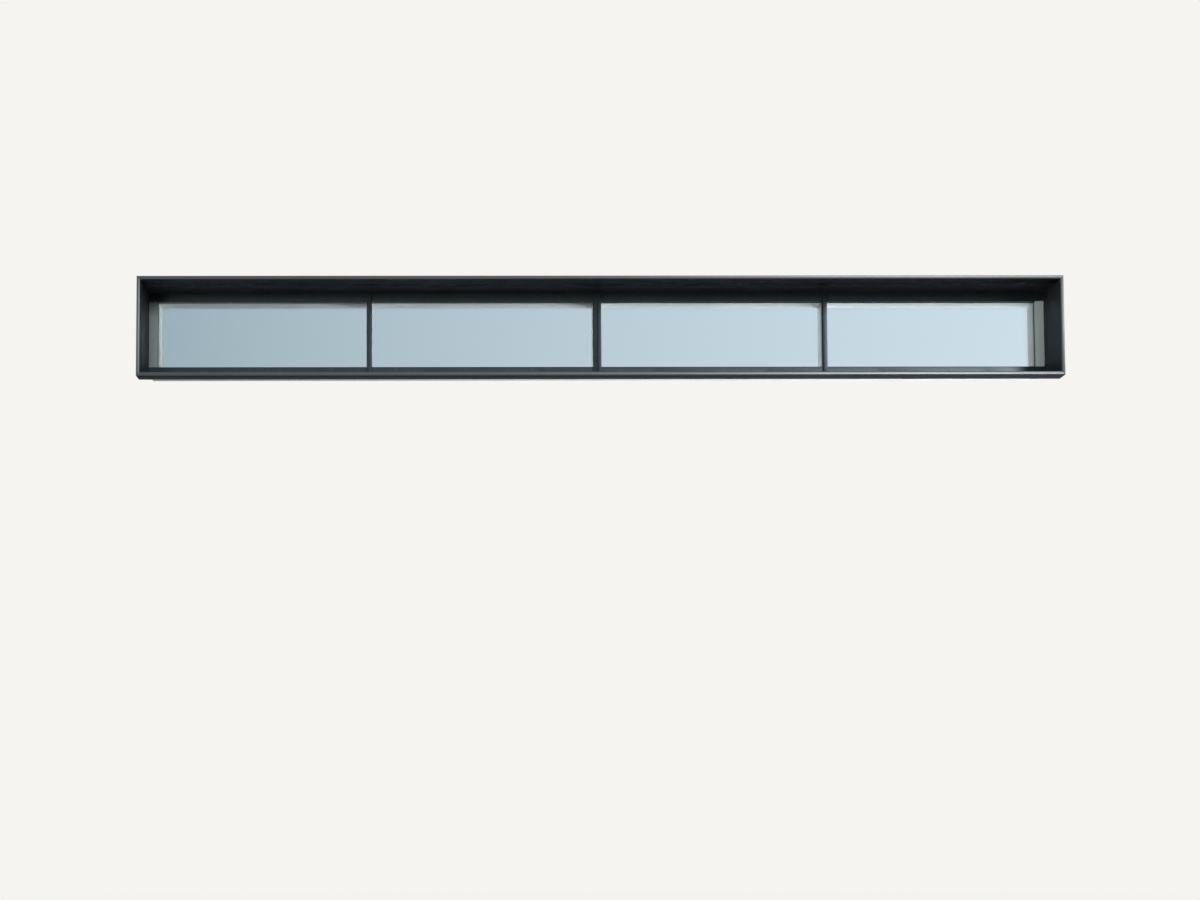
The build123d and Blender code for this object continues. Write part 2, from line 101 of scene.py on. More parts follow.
def colour_property(name, description, code):
    return FloatVectorProperty(
        name=name, description=description, default=linear(code), min=0, max=1, size=3, subtype="COLOR"
    )


def length_property(name, description, metres):
    return FloatProperty(
        name=name, description=description, default=metres, min=0, unit="LENGTH", precision=5
    )


class WindowSizes(bpy.types.PropertyGroup):
    """Sizes of the shapes that are modelled here."""

    sheet: length_property("Sheet", "Thickness of the surround's folded sheet", 3 * MM)
    fold: length_property("Fold", "Outside radius of the surround's folds", 4.5 * MM)
    outer_leaf: length_property("Outer leaf", "Depth of the surround's outer leaf", 110 * MM)
    return_flange: length_property("Return flange", "Height of the outer leaf's back flange", 9 * MM)
    sill_shelf: length_property("Sill shelf", "Depth at which the sill's slope turns level", 10 * MM)
    skin_gap: length_property("Mitre gap", "Hairline left at each mitre of the surround", 0.15 * MM)
    edge: length_property("Edge break", "Rounding of cut sheet edges", 0.3 * MM)
    cap_edge: length_property("Cap edge", "Rounding of the caps' seen edges", 0.8 * MM)
    cap_wall: length_property("Cap wall", "Wall of the snap-on caps", 1.6 * MM)
    cap_hook: length_property("Cap hook", "Depth of the hooks along a cap's open side", 2.4 * MM)
    cut_edge: length_property("Cut edge", "Rounding of the caps' cut ends", 0.2 * MM)
    box_edge: length_property("Box edge", "Rounding of the inner boxes' edges", 0.8 * MM)
    chase_inset: length_property("Chase inset", "From a frame member's outer side to its chase", 4 * MM)
    chase_width: length_property("Chase width", "Width of the rails' and jambs' screw chase", 14 * MM)
    mullion_chase: length_property("Mullion chase", "Width of the mullions' screw chase", 6 * MM)
    screw_slot: length_property("Screw slot", "Width of the slot along a screw chase", 3.5 * MM)
    weep_width: length_property("Weep width", "Width of a weep notch in the sill's cap", 25 * MM)
    weep_height: length_property("Weep height", "Height of a weep notch in the sill's cap", 5 * MM)
    rib_width: length_property("Rib width", "Width of the forward rib on the middle mullion", 15 * MM)
    gasket_width: length_property("Gasket width", "Width of the glazing gaskets", 4.5 * MM)
    outer_nose: length_property("Outer nose", "Rounding of the outer gaskets' lips", 0.8 * MM)
    inner_nose: length_property("Inner nose", "Rounding of the inner gaskets' lips", 1.5 * MM)
    spacer_width: length_property("Spacer width", "Width of the glass units' spacers", 6 * MM)
    channel_depth: length_property("Channel depth", "Depth of the channel rolled in a spacer", 0.8 * MM)
    joint_width: length_property("Joint width", "Width of the sealant joint round the frame", 2 * MM)
    joint_hollow: length_property("Joint hollow", "How far the sealant joint is tooled in", 0.5 * MM)
    strap_edge: length_property("Strap edge", "Rounding of the straps' edges", 0.4 * MM)
    screw_head: length_property("Screw head", "Diameter of the screws' pan heads", 8 * MM)
    head_height: length_property("Head height", "Height of the screws' pan heads", 2.5 * MM)
    screw_shank: length_property("Screw shank", "Diameter of the screws' shanks", 4 * MM)
    screw_length: length_property("Screw length", "Length of the screws below their heads", 11 * MM)


class WindowFinishes(bpy.types.PropertyGroup):
    """Colours of the window's finishes."""

    surround: colour_property("Surround", "Anthracite powder coat of the folded surround", "#797d80")
    caps: colour_property("Caps", "Slate-grey powder coat of the rail and mullion caps", "#464c51")
    jamb_caps: colour_property("Jamb caps", "Silver-grey powder coat of the jamb caps", "#a0aba9")
    boxes: colour_property("Inner boxes", "White powder coat of the boxes on the room side", "#eceeec")
    glass: colour_property("Glass", "Body tint of the float glass", "#f6f9fa")
    sky_left: colour_property("Sky, left", "What the glass shows towards the left", "#a1b4bd")
    sky_right: colour_property("Sky, right", "What the glass shows towards the right", "#e0edf5")
    backdrop: colour_property("Backdrop", "Plain backdrop and floor", "#f5f4f1")


# Materials


def node(tree, kind, inputs=(), **settings):
    """Adds one node. Its inputs are set by name or number, and an input that is given a socket is
    linked to it. MapRange takes its value at 0, a range at 1 and 2 and what that becomes at 3 and 4.
    Mix and MixShader take their factor at 0, and Mix takes its colours at 6 and 7."""
    made = tree.nodes.new(f"ShaderNode{kind}")
    for key, value in settings.items():
        setattr(made, key, value)
    for key, value in dict(inputs).items():
        if isinstance(value, bpy.types.NodeSocket):
            tree.links.new(value, made.inputs[key])
        else:
            made.inputs[key].default_value = value
    return made


def new_material(name, inputs=()):
    """A material with its shader, whose sockets are set as for a node."""
    material = bpy.data.materials.new(name)
    material.use_nodes = True
    tree = material.node_tree
    tree.nodes.clear()
    shader = node(tree, "BsdfPrincipled", inputs)
    node(tree, "OutputMaterial", {"Surface": shader.outputs[0]})
    return tree, shader


def place_on(tree, *cells):
    """Object coordinates for a pattern whose cells measure so many millimetres on X, Y and Z."""
    place = node(tree, "TexCoord").outputs["Object"]
    scale = [1 / (cell * MM) for cell in cells]
    return node(tree, "Mapping", {"Vector": place, "Scale": scale}).outputs[0]


def shift(tree, colour, amount, factor):
    """A colour that goes from darker to lighter by an amount each way, as a noise's factor rises."""
    dark, light = 1 - amount, 1 + amount
    gain = node(tree, "MapRange", {0: factor, 1: 0.25, 2: 0.75, 3: dark, 4: light}).outputs[0]
    inputs = {0: 1.0, 6: (*colour, 1), 7: gain}
    return node(tree, "Mix", inputs, data_type="RGBA", blend_type="MULTIPLY").outputs[2]


def coat(name, colour, roughness, metallic):
    """Powder coat on aluminium: an even satin film with a fine orange peel, a soft change of tone
    from one batch of spray to the next, dust on what faces up and faint rain marks down its faces."""
    # The film is matt seen at a slant, so it mirrors less there than bare metal flake
    edge = (0.12, 0.12, 0.12, 1)
    tree, shader = new_material(name, {"Metallic": metallic, "IOR": 1.5, "Specular Tint": edge})
    # Cloudy change of tone, a third of a metre across
    place = place_on(tree, 333, 333, 333)
    cloud = node(tree, "TexNoise", {"Vector": place, "Scale": 1.0, "Detail": 3}).outputs[0]
    tone = shift(tree, colour, 0.05, cloud)
    # Rain marks about 17 mm wide and a third of a metre tall
    place = place_on(tree, 16.67, 16.67, 333)
    streak = node(tree, "TexNoise", {"Vector": place, "Scale": 1.0, "Detail": 4}).outputs[0]
    marks = node(tree, "MapRange", {0: streak, 1: 0.55, 2: 0.8, 3: 0.0, 4: 0.12}).outputs[0]
    # Dust lies where the film faces up, in patches 40 mm across
    facing = node(tree, "SeparateXYZ", {0: node(tree, "NewGeometry").outputs["Normal"]}).outputs["Z"]
    place = place_on(tree, 40, 40, 40)
    patches = node(tree, "TexNoise", {"Vector": place, "Scale": 1.0, "Detail": 6}).outputs[0]
    upward = node(tree, "MapRange", {0: facing, 1: 0.4, 2: 1.0, 3: 0.0, 4: 0.5}).outputs[0]
    settled = node(tree, "Math", {0: upward, 1: patches}, operation="MULTIPLY").outputs[0]
    dirt = node(tree, "Math", {0: settled, 1: marks}, operation="ADD").outputs[0]
    dust = (*linear("#8f8b84"), 1)
    tinted = node(tree, "Mix", {0: dirt, 6: tone, 7: dust}, data_type="RGBA").outputs[2]
    tree.links.new(tinted, shader.inputs["Base Color"])
    gloss = node(tree, "MapRange", {0: dirt, 3: roughness, 4: 0.8}).outputs[0]
    tree.links.new(gloss, shader.inputs["Roughness"])
    # Orange peel is 2 to 3 mm across on the real film. It is drawn at 8 mm, the finest that shows.
    place = place_on(tree, 8, 8, 8)
    peel = node(tree, "TexNoise", {"Vector": place, "Scale": 1.0, "Detail": 2}).outputs[0]
    bump = node(tree, "Bump", {"Strength": 0.15, "Distance": 0.12 * MM, "Height": peel}).outputs[0]
    tree.links.new(bump, shader.inputs["Normal"])


def bare_metal(name, colour, roughness, cells, depth=0.02):
    """Bare metal, drawn, rolled or dipped in zinc. Its lines or spangle have cells of a size in
    millimetres and are so many millimetres deep."""
    tree, shader = new_material(name, {"Metallic": 1.0})
    place = place_on(tree, *cells)
    lines = node(tree, "TexNoise", {"Vector": place, "Scale": 1.0, "Detail": 4}).outputs[0]
    tree.links.new(shift(tree, colour, 0.06, lines), shader.inputs["Base Color"])
    smooth, rough = roughness - 0.06, roughness + 0.08
    gloss = node(tree, "MapRange", {0: lines, 1: 0.3, 2: 0.7, 3: smooth, 4: rough}).outputs[0]
    tree.links.new(gloss, shader.inputs["Roughness"])
    bump = node(tree, "Bump", {"Strength": 0.4, "Distance": depth * MM, "Height": lines}).outputs[0]
    tree.links.new(bump, shader.inputs["Normal"])


def moulded(name, colour, roughness, grain, depth):
    """Rubber, sealant or plastic: one colour with a fine skin, and a little lighter where dust has
    worked into it. The skin's grain and its depth are in millimetres."""
    tree, shader = new_material(name, {"IOR": 1.5})
    place = place_on(tree, grain, grain, grain)
    skin = node(tree, "TexNoise", {"Vector": place, "Scale": 1.0, "Detail": 3}).outputs[0]
    tree.links.new(shift(tree, colour, 0.1, skin), shader.inputs["Base Color"])
    smooth, rough = roughness - 0.05, roughness + 0.07
    gloss = node(tree, "MapRange", {0: skin, 1: 0.3, 2: 0.7, 3: smooth, 4: rough}).outputs[0]
    tree.links.new(gloss, shader.inputs["Roughness"])
    bump = node(tree, "Bump", {"Strength": 0.4, "Distance": depth * MM, "Height": skin}).outputs[0]
    tree.links.new(bump, shader.inputs["Normal"])


def float_glass(name, colour):
    """Clear float glass: almost colourless, sharp in its reflections, with the slow waves that
    toughening leaves."""
    tree, shader = new_material(
        name, {"Base Color": (*colour, 1), "IOR": 1.52, "Transmission Weight": 1.0, "Roughness": 0.0}
    )
    # Roller waves 300 mm long
    place = place_on(tree, 303, 303, 303)
    wave = node(tree, "TexNoise", {"Vector": place, "Scale": 1.0, "Detail": 1}).outputs[0]
    bump = node(tree, "Bump", {"Strength": 0.1, "Distance": 0.4 * MM, "Height": wave}).outputs[0]
    tree.links.new(bump, shader.inputs["Normal"])


def give_finish(piece, finish):
    piece.data.materials.clear()
    piece.data.materials.append(bpy.data.materials[finish])


class WINDOW_OT_finishes(bpy.types.Operator):
    """Makes the finishes and gives each CAD node its own"""

    bl_idname = "window.finishes"
    bl_label = "Finishes"

    def execute(self, context):
        finishes = context.scene.window_finishes
        # Satin anthracite with metal flake: dark in the shade and much lighter where it turns to a lamp
        coat(FINISHES["surround_paint"], finishes.surround, roughness=0.42, metallic=0.93)
        coat(FINISHES["cap_paint"], finishes.caps, roughness=0.4, metallic=0.8)
        coat(JAMB_CAP_FINISH, finishes.jamb_caps, roughness=0.5, metallic=0.2)
        # Plain white without flake
        coat(FINISHES["inner_paint"], finishes.boxes, roughness=0.4, metallic=0.0)
        float_glass(FINISHES["glass"], finishes.glass)
        # Rolled strip, with lines round the spacer
        bare_metal(FINISHES["spacer_metal"], linear("#c9cbcc"), 0.3, (16.67, 1.11, 16.67))
        # Extruded, with die lines along it
        bare_metal(FINISHES["mill_aluminium"], linear("#b9babb"), 0.38, (125, 2.5, 2.5))
        # Cold-headed and tumbled, so even
        bare_metal(FINISHES["screw_steel"], linear("#c6c4bf"), 0.28, (1.43, 1.43, 1.43))
        # Hot-dipped, with a spangle 11 mm across
        bare_metal(FINISHES["strap_steel"], linear("#b4b9bd"), 0.42, (11.11, 11.11, 11.11), 0.04)
        moulded(FINISHES["edge_sealant"], linear("#121314"), 0.6, grain=3.33, depth=0.05)
        moulded(FINISHES["gasket_rubber"], linear("#17181a"), 0.55, grain=2.5, depth=0.04)
        moulded(FINISHES["joint_sealant"], linear("#2a2d2f"), 0.5, grain=6.67, depth=0.1)
        moulded(FINISHES["isolator_plastic"], linear("#1c1c1d"), 0.5, grain=2, depth=0.03)
        moulded(FINISHES["block_plastic"], linear("#3f7d4a"), 0.45, grain=2, depth=0.03)
        for entry in frame["record"]["subparts"]:
            give_finish(frame["nodes"][entry["node"]], FINISHES[entry["material_slot"]])
        return {"FINISHED"}


# Modelling steps


def deselect():
    bpy.ops.object.select_all(action="DESELECT")


def begin(kind, name, low, high):
    """Starts a piece between two corners, in edit mode: a box, or a flat strip that faces the front."""
    deselect()
    low, high = Vector(low), Vector(high)
    size = high - low
    if kind == "box":
        bpy.ops.mesh.primitive_cube_add(size=1, location=(low + high) / 2, scale=size)
    else:
        upright = (math.radians(90), 0, 0)
        bpy.ops.mesh.primitive_plane_add(size=1, location=(low + high) / 2, rotation=upright)
        bpy.context.object.scale = (size.x, size.z, 1)
    piece = bpy.context.object
    piece.name = piece.data.name = name
    bpy.ops.object.transform_apply(location=True, rotation=True, scale=True)
    bpy.ops.object.mode_set(mode="EDIT")
    return piece


def pick(kind, test):
    """Selects only the vertices, edges or faces whose middle passes the test. Edges are also given
    the way that they run, and faces the way that they look."""
    bpy.ops.mesh.select_mode(type=kind)
    bpy.ops.mesh.select_all(action="DESELECT")
    mesh = bmesh.from_edit_mesh(bpy.context.object.data)
    if kind == "VERT":
        for vert in mesh.verts:
            vert.select_set(bool(test(vert.co)))
    elif kind == "EDGE":
        for edge in mesh.edges:
            start, end = (vert.co for vert in edge.verts)
            edge.select_set(bool(test((start + end) / 2, (end - start).normalized())))
    else:
        for face in mesh.faces:
            face.select_set(bool(test(face.calc_center_median(), face.normal)))
    bmesh.update_edit_mesh(bpy.context.object.data)


def near(value, target):
    return abs(value - target) < TOUCH


def pull(x=0.0, y=0.0, z=0.0):
    """Extrudes what is selected."""
    bpy.ops.mesh.extrude_region_move(TRANSFORM_OT_translate={"value": (x, y, z)})


def move(x=0.0, y=0.0, z=0.0):
    bpy.ops.transform.translate(value=(x, y, z))


def cut(point, normal, drop=False):
    """Cuts the whole mesh with a plane, and drops and closes off what lies beyond it."""
    bpy.ops.mesh.select_all(action="SELECT")
    bpy.ops.mesh.bisect(plane_co=point, plane_no=normal, use_fill=drop, clear_outer=drop)


def delete_faces(test):
    pick("FACE", test)
    bpy.ops.mesh.delete(type="FACE")


def round_edges(test, radius, segments=3):
    pick("EDGE", test)
    bpy.ops.mesh.bevel(
        offset=radius, offset_type="OFFSET", segments=segments, profile=0.5, affect="EDGES"
    )


def modifier(kind, **settings):
    """Adds a modifier in object mode and applies it."""
    bpy.ops.object.mode_set(mode="OBJECT")
    bpy.ops.object.modifier_add(type=kind)
    added = bpy.context.object.modifiers[-1]
    for key, value in settings.items():
        setattr(added, key, value)
    bpy.ops.object.modifier_apply(modifier=added.name)
    bpy.ops.object.mode_set(mode="EDIT")


def thicken(thickness):
    modifier("SOLIDIFY", thickness=thickness, offset=-1, use_even_offset=True)


def break_edges(width, segments=2):
    limit = math.radians(40)
    modifier("BEVEL", width=width, segments=segments, limit_method="ANGLE", angle_limit=limit)


def finish_piece(piece, slot, node_name, finish=None):
    """Leaves edit mode, gives a piece its smooth rounds, finish and body, and hides the node it stands
    for.
    """
    bpy.ops.object.mode_set(mode="OBJECT")
    bpy.ops.object.shade_smooth_by_angle(angle=math.radians(35))
    give_finish(piece, finish or FINISHES[slot])
    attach(piece, "root")
    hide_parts(node_name)


def runs(axis):
    """Test of an edge that runs along an axis."""
    return lambda way: abs(way[axis]) > 0.999


along_x, along_z = runs(0), runs(2)


# Surround


def fold_head(sizes):
    """Head skin: lip, outer leaf with its flange, and the level reveal leaf."""
    low, high = HEAD_LOW, HEAD_HIGH
    piece = begin(
        "strip", "surround_head_skin", (low.x - SPARE, low.y, low.z), (high.x + SPARE, low.y, high.z)
    )
    pick("EDGE", lambda at, way: along_x(way) and near(at.z, high.z))
    pull(y=sizes.outer_leaf)
    pull(z=-sizes.return_flange)
    pick("EDGE", lambda at, way: along_x(way) and near(at.z, low.z) and near(at.y, low.y))
    pull(y=high.y - low.y)
    leaf_back = low.y + sizes.outer_leaf
    round_edges(
        lambda at, way: along_x(way)
        and (near(at.y, low.y) or (near(at.y, leaf_back) and near(at.z, high.z))),
        sizes.fold, FOLD_SEGMENTS,
    )
    thicken(sizes.sheet)
    for side in (-1, 1):
        cut((side * (high.x - sizes.skin_gap), 0, high.z), (side, 0, -1), drop=True)
    break_edges(sizes.edge)
    finish_piece(piece, "surround_paint", "surround_head")


def fold_jamb(sizes, name, side):
    """Jamb skin, whose reveal leaf ends on the slope and the shelf of the sill's."""
    low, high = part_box(f"surround_jamb_{name}")
    outer = high.x if side > 0 else low.x
    inner = low.x if side > 0 else high.x
    piece = begin(
        "strip", f"surround_jamb_{name}_skin",
        (low.x, low.y, low.z - SPARE), (high.x, low.y, high.z + SPARE),
    )
    pick("EDGE", lambda at, way: along_z(way) and near(at.x, outer))
    pull(y=sizes.outer_leaf)
    pull(x=-side * sizes.return_flange)
    pick("EDGE", lambda at, way: along_z(way) and near(at.x, inner) and near(at.y, low.y))
    pull(y=sizes.sill_shelf - low.y)
    pull(y=high.y - sizes.sill_shelf)
    # The lower end of the reveal leaf follows the underside of the sill's shelf and slope, and keeps
    # clear of the fold at the lip
    bottom = low.z - SPARE
    pick("VERT", lambda at: near(at.x, inner) and at.z < 0 and at.y > 0)
    move(z=SILL_HIGH.z - sizes.sheet - bottom)
    lip = high.x - low.x
    fold_gap = 0.5 * MM
    pick("VERT", lambda at: near(at.x, inner) and at.z < 0 and at.y < 0)
    move(z=lip - sizes.sheet - fold_gap - bottom)
    leaf_back = low.y + sizes.outer_leaf
    round_edges(
        lambda at, way: along_z(way)
        and (near(at.y, low.y) or (near(at.y, leaf_back) and near(at.x, outer))),
        sizes.fold, FOLD_SEGMENTS,
    )
    thicken(sizes.sheet)
    for level, end in ((high.z, 1), (low.z, -1)):
        cut((outer, 0, level - end * sizes.skin_gap), (-side, 0, end), drop=True)
    break_edges(sizes.edge)
    finish_piece(piece, "surround_paint", f"surround_jamb_{name}")


def fold_sill(sizes):
    """Sill skin: its reveal leaf rises as a weathering and ends in a level shelf. Its ends are mitred
    under the lip and square between the reveal leaves of the jambs."""
    low, high = SILL_LOW, SILL_HIGH
    lip = HEAD_HIGH.z - HEAD_LOW.z
    # The folded sheet is cut to a solid whose ends are square above the lip. Below it they slant
    # outward as the mitres do, to a depth under the sheet.
    depth = 10 * MM
    left_end, right_end = low.x + lip + sizes.skin_gap, high.x - lip - sizes.skin_gap
    shape = begin(
        "box", "sill_end_shape",
        (left_end, low.y - SPARE, low.z - depth), (right_end, high.y + SPARE, high.z + SPARE),
    )
    cut((0, 0, low.z + lip), (0, 0, 1))
    pick("VERT", lambda at: at.z < low.z)
    wide = (high.x - sizes.skin_gap + depth) / right_end
    bpy.ops.transform.resize(value=(wide, 1, 1), center_override=(0, 0, low.z))
    bpy.ops.object.mode_set(mode="OBJECT")
    piece = begin(
        "strip", "surround_sill_skin",
        (low.x - SPARE, low.y, low.z), (high.x + SPARE, low.y, low.z + lip),
    )
    pick("EDGE", lambda at, way: along_x(way) and near(at.z, low.z))
    pull(y=sizes.outer_leaf)
    pull(z=sizes.return_flange)
    pick("EDGE", lambda at, way: along_x(way) and near(at.z, low.z + lip))
    pull(y=sizes.sill_shelf - low.y, z=high.z - low.z - lip)
    pull(y=high.y - sizes.sill_shelf)
    leaf_back = low.y + sizes.outer_leaf
    round_edges(
        lambda at, way: along_x(way)
        and near(at.z, low.z)
        and (near(at.y, low.y) or near(at.y, leaf_back)),
        sizes.fold, FOLD_SEGMENTS,
    )
    # The other two folds turn less than a right angle, so their rounds take less of each leaf
    slope_fold, shelf_fold = 0.86 * sizes.fold, 0.08 * sizes.fold
    round_edges(
        lambda at, way: along_x(way) and near(at.y, low.y) and near(at.z, low.z + lip),
        slope_fold, FOLD_SEGMENTS,
    )
    round_edges(lambda at, way: along_x(way) and near(at.y, sizes.sill_shelf), shelf_fold, 2)
    thicken(sizes.sheet)
    modifier("BOOLEAN", object=shape, operation="INTERSECT", solver="EXACT")
    bpy.ops.object.mode_set(mode="OBJECT")
    deselect()
    shape.select_set(True)
    bpy.ops.object.delete()
    bpy.context.view_layer.objects.active = piece
    piece.select_set(True)
    bpy.ops.object.mode_set(mode="EDIT")
    break_edges(sizes.edge)
    finish_piece(piece, "surround_paint", "surround_sill")


class WINDOW_OT_surround(bpy.types.Operator):
    """Folds the four skins of the surround"""

    bl_idname = "window.surround"
    bl_label = "Surround"

    def execute(self, context):
        sizes = context.scene.window_sizes
        fold_head(sizes)
        fold_jamb(sizes, "left", -1)
        fold_jamb(sizes, "right", 1)
        fold_sill(sizes)
        return {"FINISHED"}


# Caps


def open_back(high):
    """Takes off the back of a box."""
    delete_faces(lambda at, look: look.y > 0.9 and near(at.y, high.y))


def add_hooks(high, axis, reach):
    """Turns the open edges along an axis inward, as the hooks that snap over the pressure plate."""
    across = 2 if axis == 0 else 0
    verts = bmesh.from_edit_mesh(bpy.context.object.data).verts
    middle = sum(vert.co[across] for vert in verts) / len(verts)
    for side in (-1, 1):
        pick(
            "EDGE",
            lambda at, way: runs(axis)(way)
            and near(at.y, high.y)
            and side * (at[across] - middle) > 0,
        )
        pull(**{"xyz"[across]: -side * reach})


def rail_cap(sizes, name, weeps):
    """Cap of the head or the sill. The sill's has weep notches along its lower edge."""
    low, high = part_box(f"cap_{name}")
    piece = begin("box", f"cap_{name}_cover", low, high)
    open_back(high)
    round_edges(lambda at, way: along_x(way) and near(at.y, low.y), sizes.cap_edge)
    add_hooks(high, 0, sizes.cap_hook)
    if weeps:
        top = low.z + sizes.weep_height
        cut((0, 0, top), (0, 0, 1))
        for middle in weeps:
            for side in (-1, 1):
                cut((middle + side * sizes.weep_width / 2, 0, 0), (1, 0, 0))
        delete_faces(
            lambda at, look: at.z < top
            and not near(at.y, high.y)
            and any(abs(at.x - middle) < sizes.weep_width / 2 for middle in weeps)
        )
    thicken(sizes.cap_wall)
    break_edges(sizes.cut_edge)
    finish_piece(piece, "cap_paint", f"cap_{name}")


def jamb_cap(sizes, name):
    """Cap of a jamb, between the caps of the head and the sill."""
    low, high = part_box(f"cap_jamb_{name}")
    gap = Vector((0, 0, HAIRLINE))
    piece = begin("box", f"cap_jamb_{name}_cover", low + gap, high - gap)
    open_back(high)
    round_edges(lambda at, way: along_z(way) and near(at.y, low.y), sizes.cap_edge)
    add_hooks(high, 2, sizes.cap_hook)
    thicken(sizes.cap_wall)
    break_edges(sizes.cut_edge)
    finish_piece(piece, "cap_paint", f"cap_jamb_{name}", JAMB_CAP_FINISH)


def mullion_cap(sizes, name, rib):
    """Cap of a mullion, which stands forward and laps over the caps of the head and the sill."""
    low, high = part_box(f"cap_mullion_{name}")
    rib_front = low.y
    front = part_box("cap_mullion_left")[0].y
    low.y = front
    sight_low, sight_high = (corner.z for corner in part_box("cap_jamb_left"))
    piece = begin("box", f"cap_mullion_{name}_cover", low, high)
    open_back(high)
    cut((0, CAP_LOW.y, 0), (0, 1, 0))
    cut((0, 0, sight_low), (0, 0, 1))
    cut((0, 0, sight_high), (0, 0, 1))
    delete_faces(lambda at, look: at.y > CAP_LOW.y + TOUCH and not sight_low < at.z < sight_high)
    if rib:
        cut((high.x - sizes.rib_width, 0, 0), (1, 0, 0))
        pick("FACE", lambda at, look: look.y < -0.9 and at.x > high.x - sizes.rib_width)
        pull(y=rib_front - front)
        round_edges(lambda at, way: along_z(way) and near(at.y, rib_front), sizes.cap_edge)
        round_edges(
            lambda at, way: along_z(way) and near(at.y, front) and near(at.x, low.x),
            sizes.cap_edge,
        )
    else:
        round_edges(lambda at, way: along_z(way) and near(at.y, front), sizes.cap_edge)
    thicken(sizes.cap_wall)
    break_edges(sizes.cut_edge)
    finish_piece(piece, "cap_paint", f"cap_mullion_{name}")


class WINDOW_OT_caps(bpy.types.Operator):
    """Models the snap-on caps of the rails, the jambs and the mullions"""

    bl_idname = "window.caps"
    bl_label = "Caps"

    def execute(self, context):
        sizes = context.scene.window_sizes
        # Two weep notches to a light, a quarter of its pane in from each end
        panes = [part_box(f"outer_pane_{number}") for number in LIGHTS]
        weeps = [low.x + (high.x - low.x) * share for low, high in panes for share in (0.25, 0.75)]
        rail_cap(sizes, "head", [])
        rail_cap(sizes, "sill", weeps)
        jamb_cap(sizes, "left")
        jamb_cap(sizes, "right")
        mullion_cap(sizes, "left", False)
        mullion_cap(sizes, "centre", True)
        mullion_cap(sizes, "right", False)
        return {"FINISHED"}


# Boxes on the room side


def chase_legs(sizes, low, high, away):
    """The two legs of a member's screw chase, as stretches across its face. Away from the outer side
    of a rail or a jamb, the chase starts at the inset. A mullion has no outer side, and its chase is
    in the middle."""
    if away:
        outer = low if away > 0 else high
        reach = sizes.chase_width / 2
        middle = outer + away * (sizes.chase_inset + reach)
    else:
        reach = sizes.mullion_chase / 2
        middle = (low + high) / 2
    slot = sizes.screw_slot / 2
    return (middle - reach, middle - slot), (middle + slot, middle + reach)


def inner_box(sizes, name, axis, away):
    """White box of a frame member, with the legs of its chase standing forward in the glass pocket.
    The axis is the one across its face."""
    low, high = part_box(f"inner_{name}")
    legs = chase_legs(sizes, low[axis], high[axis], away)
    across = Vector((1, 0, 0) if axis == 0 else (0, 0, 1))
    # A jamb or a mullion stands between the head and the sill
    gap = Vector((0, 0, HAIRLINE if axis == 0 else 0))
    piece = begin("box", f"inner_{name}_box", Vector((low.x, BOX_FRONT, low.z)) + gap, high - gap)
    for leg in legs:
        for place in leg:
            cut(place * across, across)
    for leg_low, leg_high in legs:
        pick("FACE", lambda at, look: look.y < -0.9 and leg_low < at[axis] < leg_high)
        pull(y=low.y - BOX_FRONT)
    break_edges(sizes.box_edge, 3)
    finish_piece(piece, "inner_paint", f"inner_{name}")


class WINDOW_OT_boxes(bpy.types.Operator):
    """Models the white boxes on the room side"""

    bl_idname = "window.boxes"
    bl_label = "Inner boxes"

    def execute(self, context):
        sizes = context.scene.window_sizes
        inner_box(sizes, "head", 2, -1)
        inner_box(sizes, "sill", 2, 1)
        inner_box(sizes, "jamb_left", 0, 1)
        inner_box(sizes, "jamb_right", 0, -1)
        for name in ("mullion_left", "mullion_centre", "mullion_right"):
            inner_box(sizes, name, 0, 0)
        return {"FINISHED"}


# Gaskets, spacers and sealant


def ring(name, low, high, width):
    """A flat frame between two corners, made deep towards the back."""
    piece = begin("strip", name, (low.x, low.y, low.z), (high.x, low.y, high.z))
    bpy.ops.mesh.select_all(action="SELECT")
    bpy.ops.mesh.inset(thickness=width)
    bpy.ops.mesh.delete(type="FACE")
    bpy.ops.mesh.select_all(action="SELECT")
    pull(y=high.y - low.y)
    bpy.ops.mesh.select_all(action="SELECT")
    bpy.ops.mesh.normals_make_consistent(inside=False)
    return piece


def inner_edges(low, high, width, level):
    """Test of the edges round the opening of a ring, at a depth."""

    def test(at, way):
        beside = near(at.x, low.x + width) or near(at.x, high.x - width)
        above = near(at.z, low.z + width) or near(at.z, high.z - width)
        return near(at.y, level) and ((along_z(way) and beside) or (along_x(way) and above))

    return test


def gasket(sizes, name, low, high, nose):
    """Glazing gasket with a rounded lip towards the light."""
    piece = ring(f"{name}_lip", low, high, sizes.gasket_width)
    for level in (low.y, high.y):
        round_edges(inner_edges(low, high, sizes.gasket_width, level), nose, 3)
    finish_piece(piece, "gasket_rubber", name)


def spacer(sizes, name):
    """Roll-formed spacer of a glass unit, with a shallow channel towards the light."""
    low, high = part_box(name)
    piece = ring(f"{name}_frame", low, high, sizes.spacer_width)
    half = sizes.spacer_width / 2
    pick(
        "FACE",
        lambda at, look: abs(look.y) < 0.1
        and low.x + half < at.x < high.x - half
        and low.z + half < at.z < high.z - half,
    )
    bpy.ops.mesh.inset(thickness=half, depth=-sizes.channel_depth, use_even_offset=True)
    break_edges(0.5 * MM)
    finish_piece(piece, "spacer_metal", name)


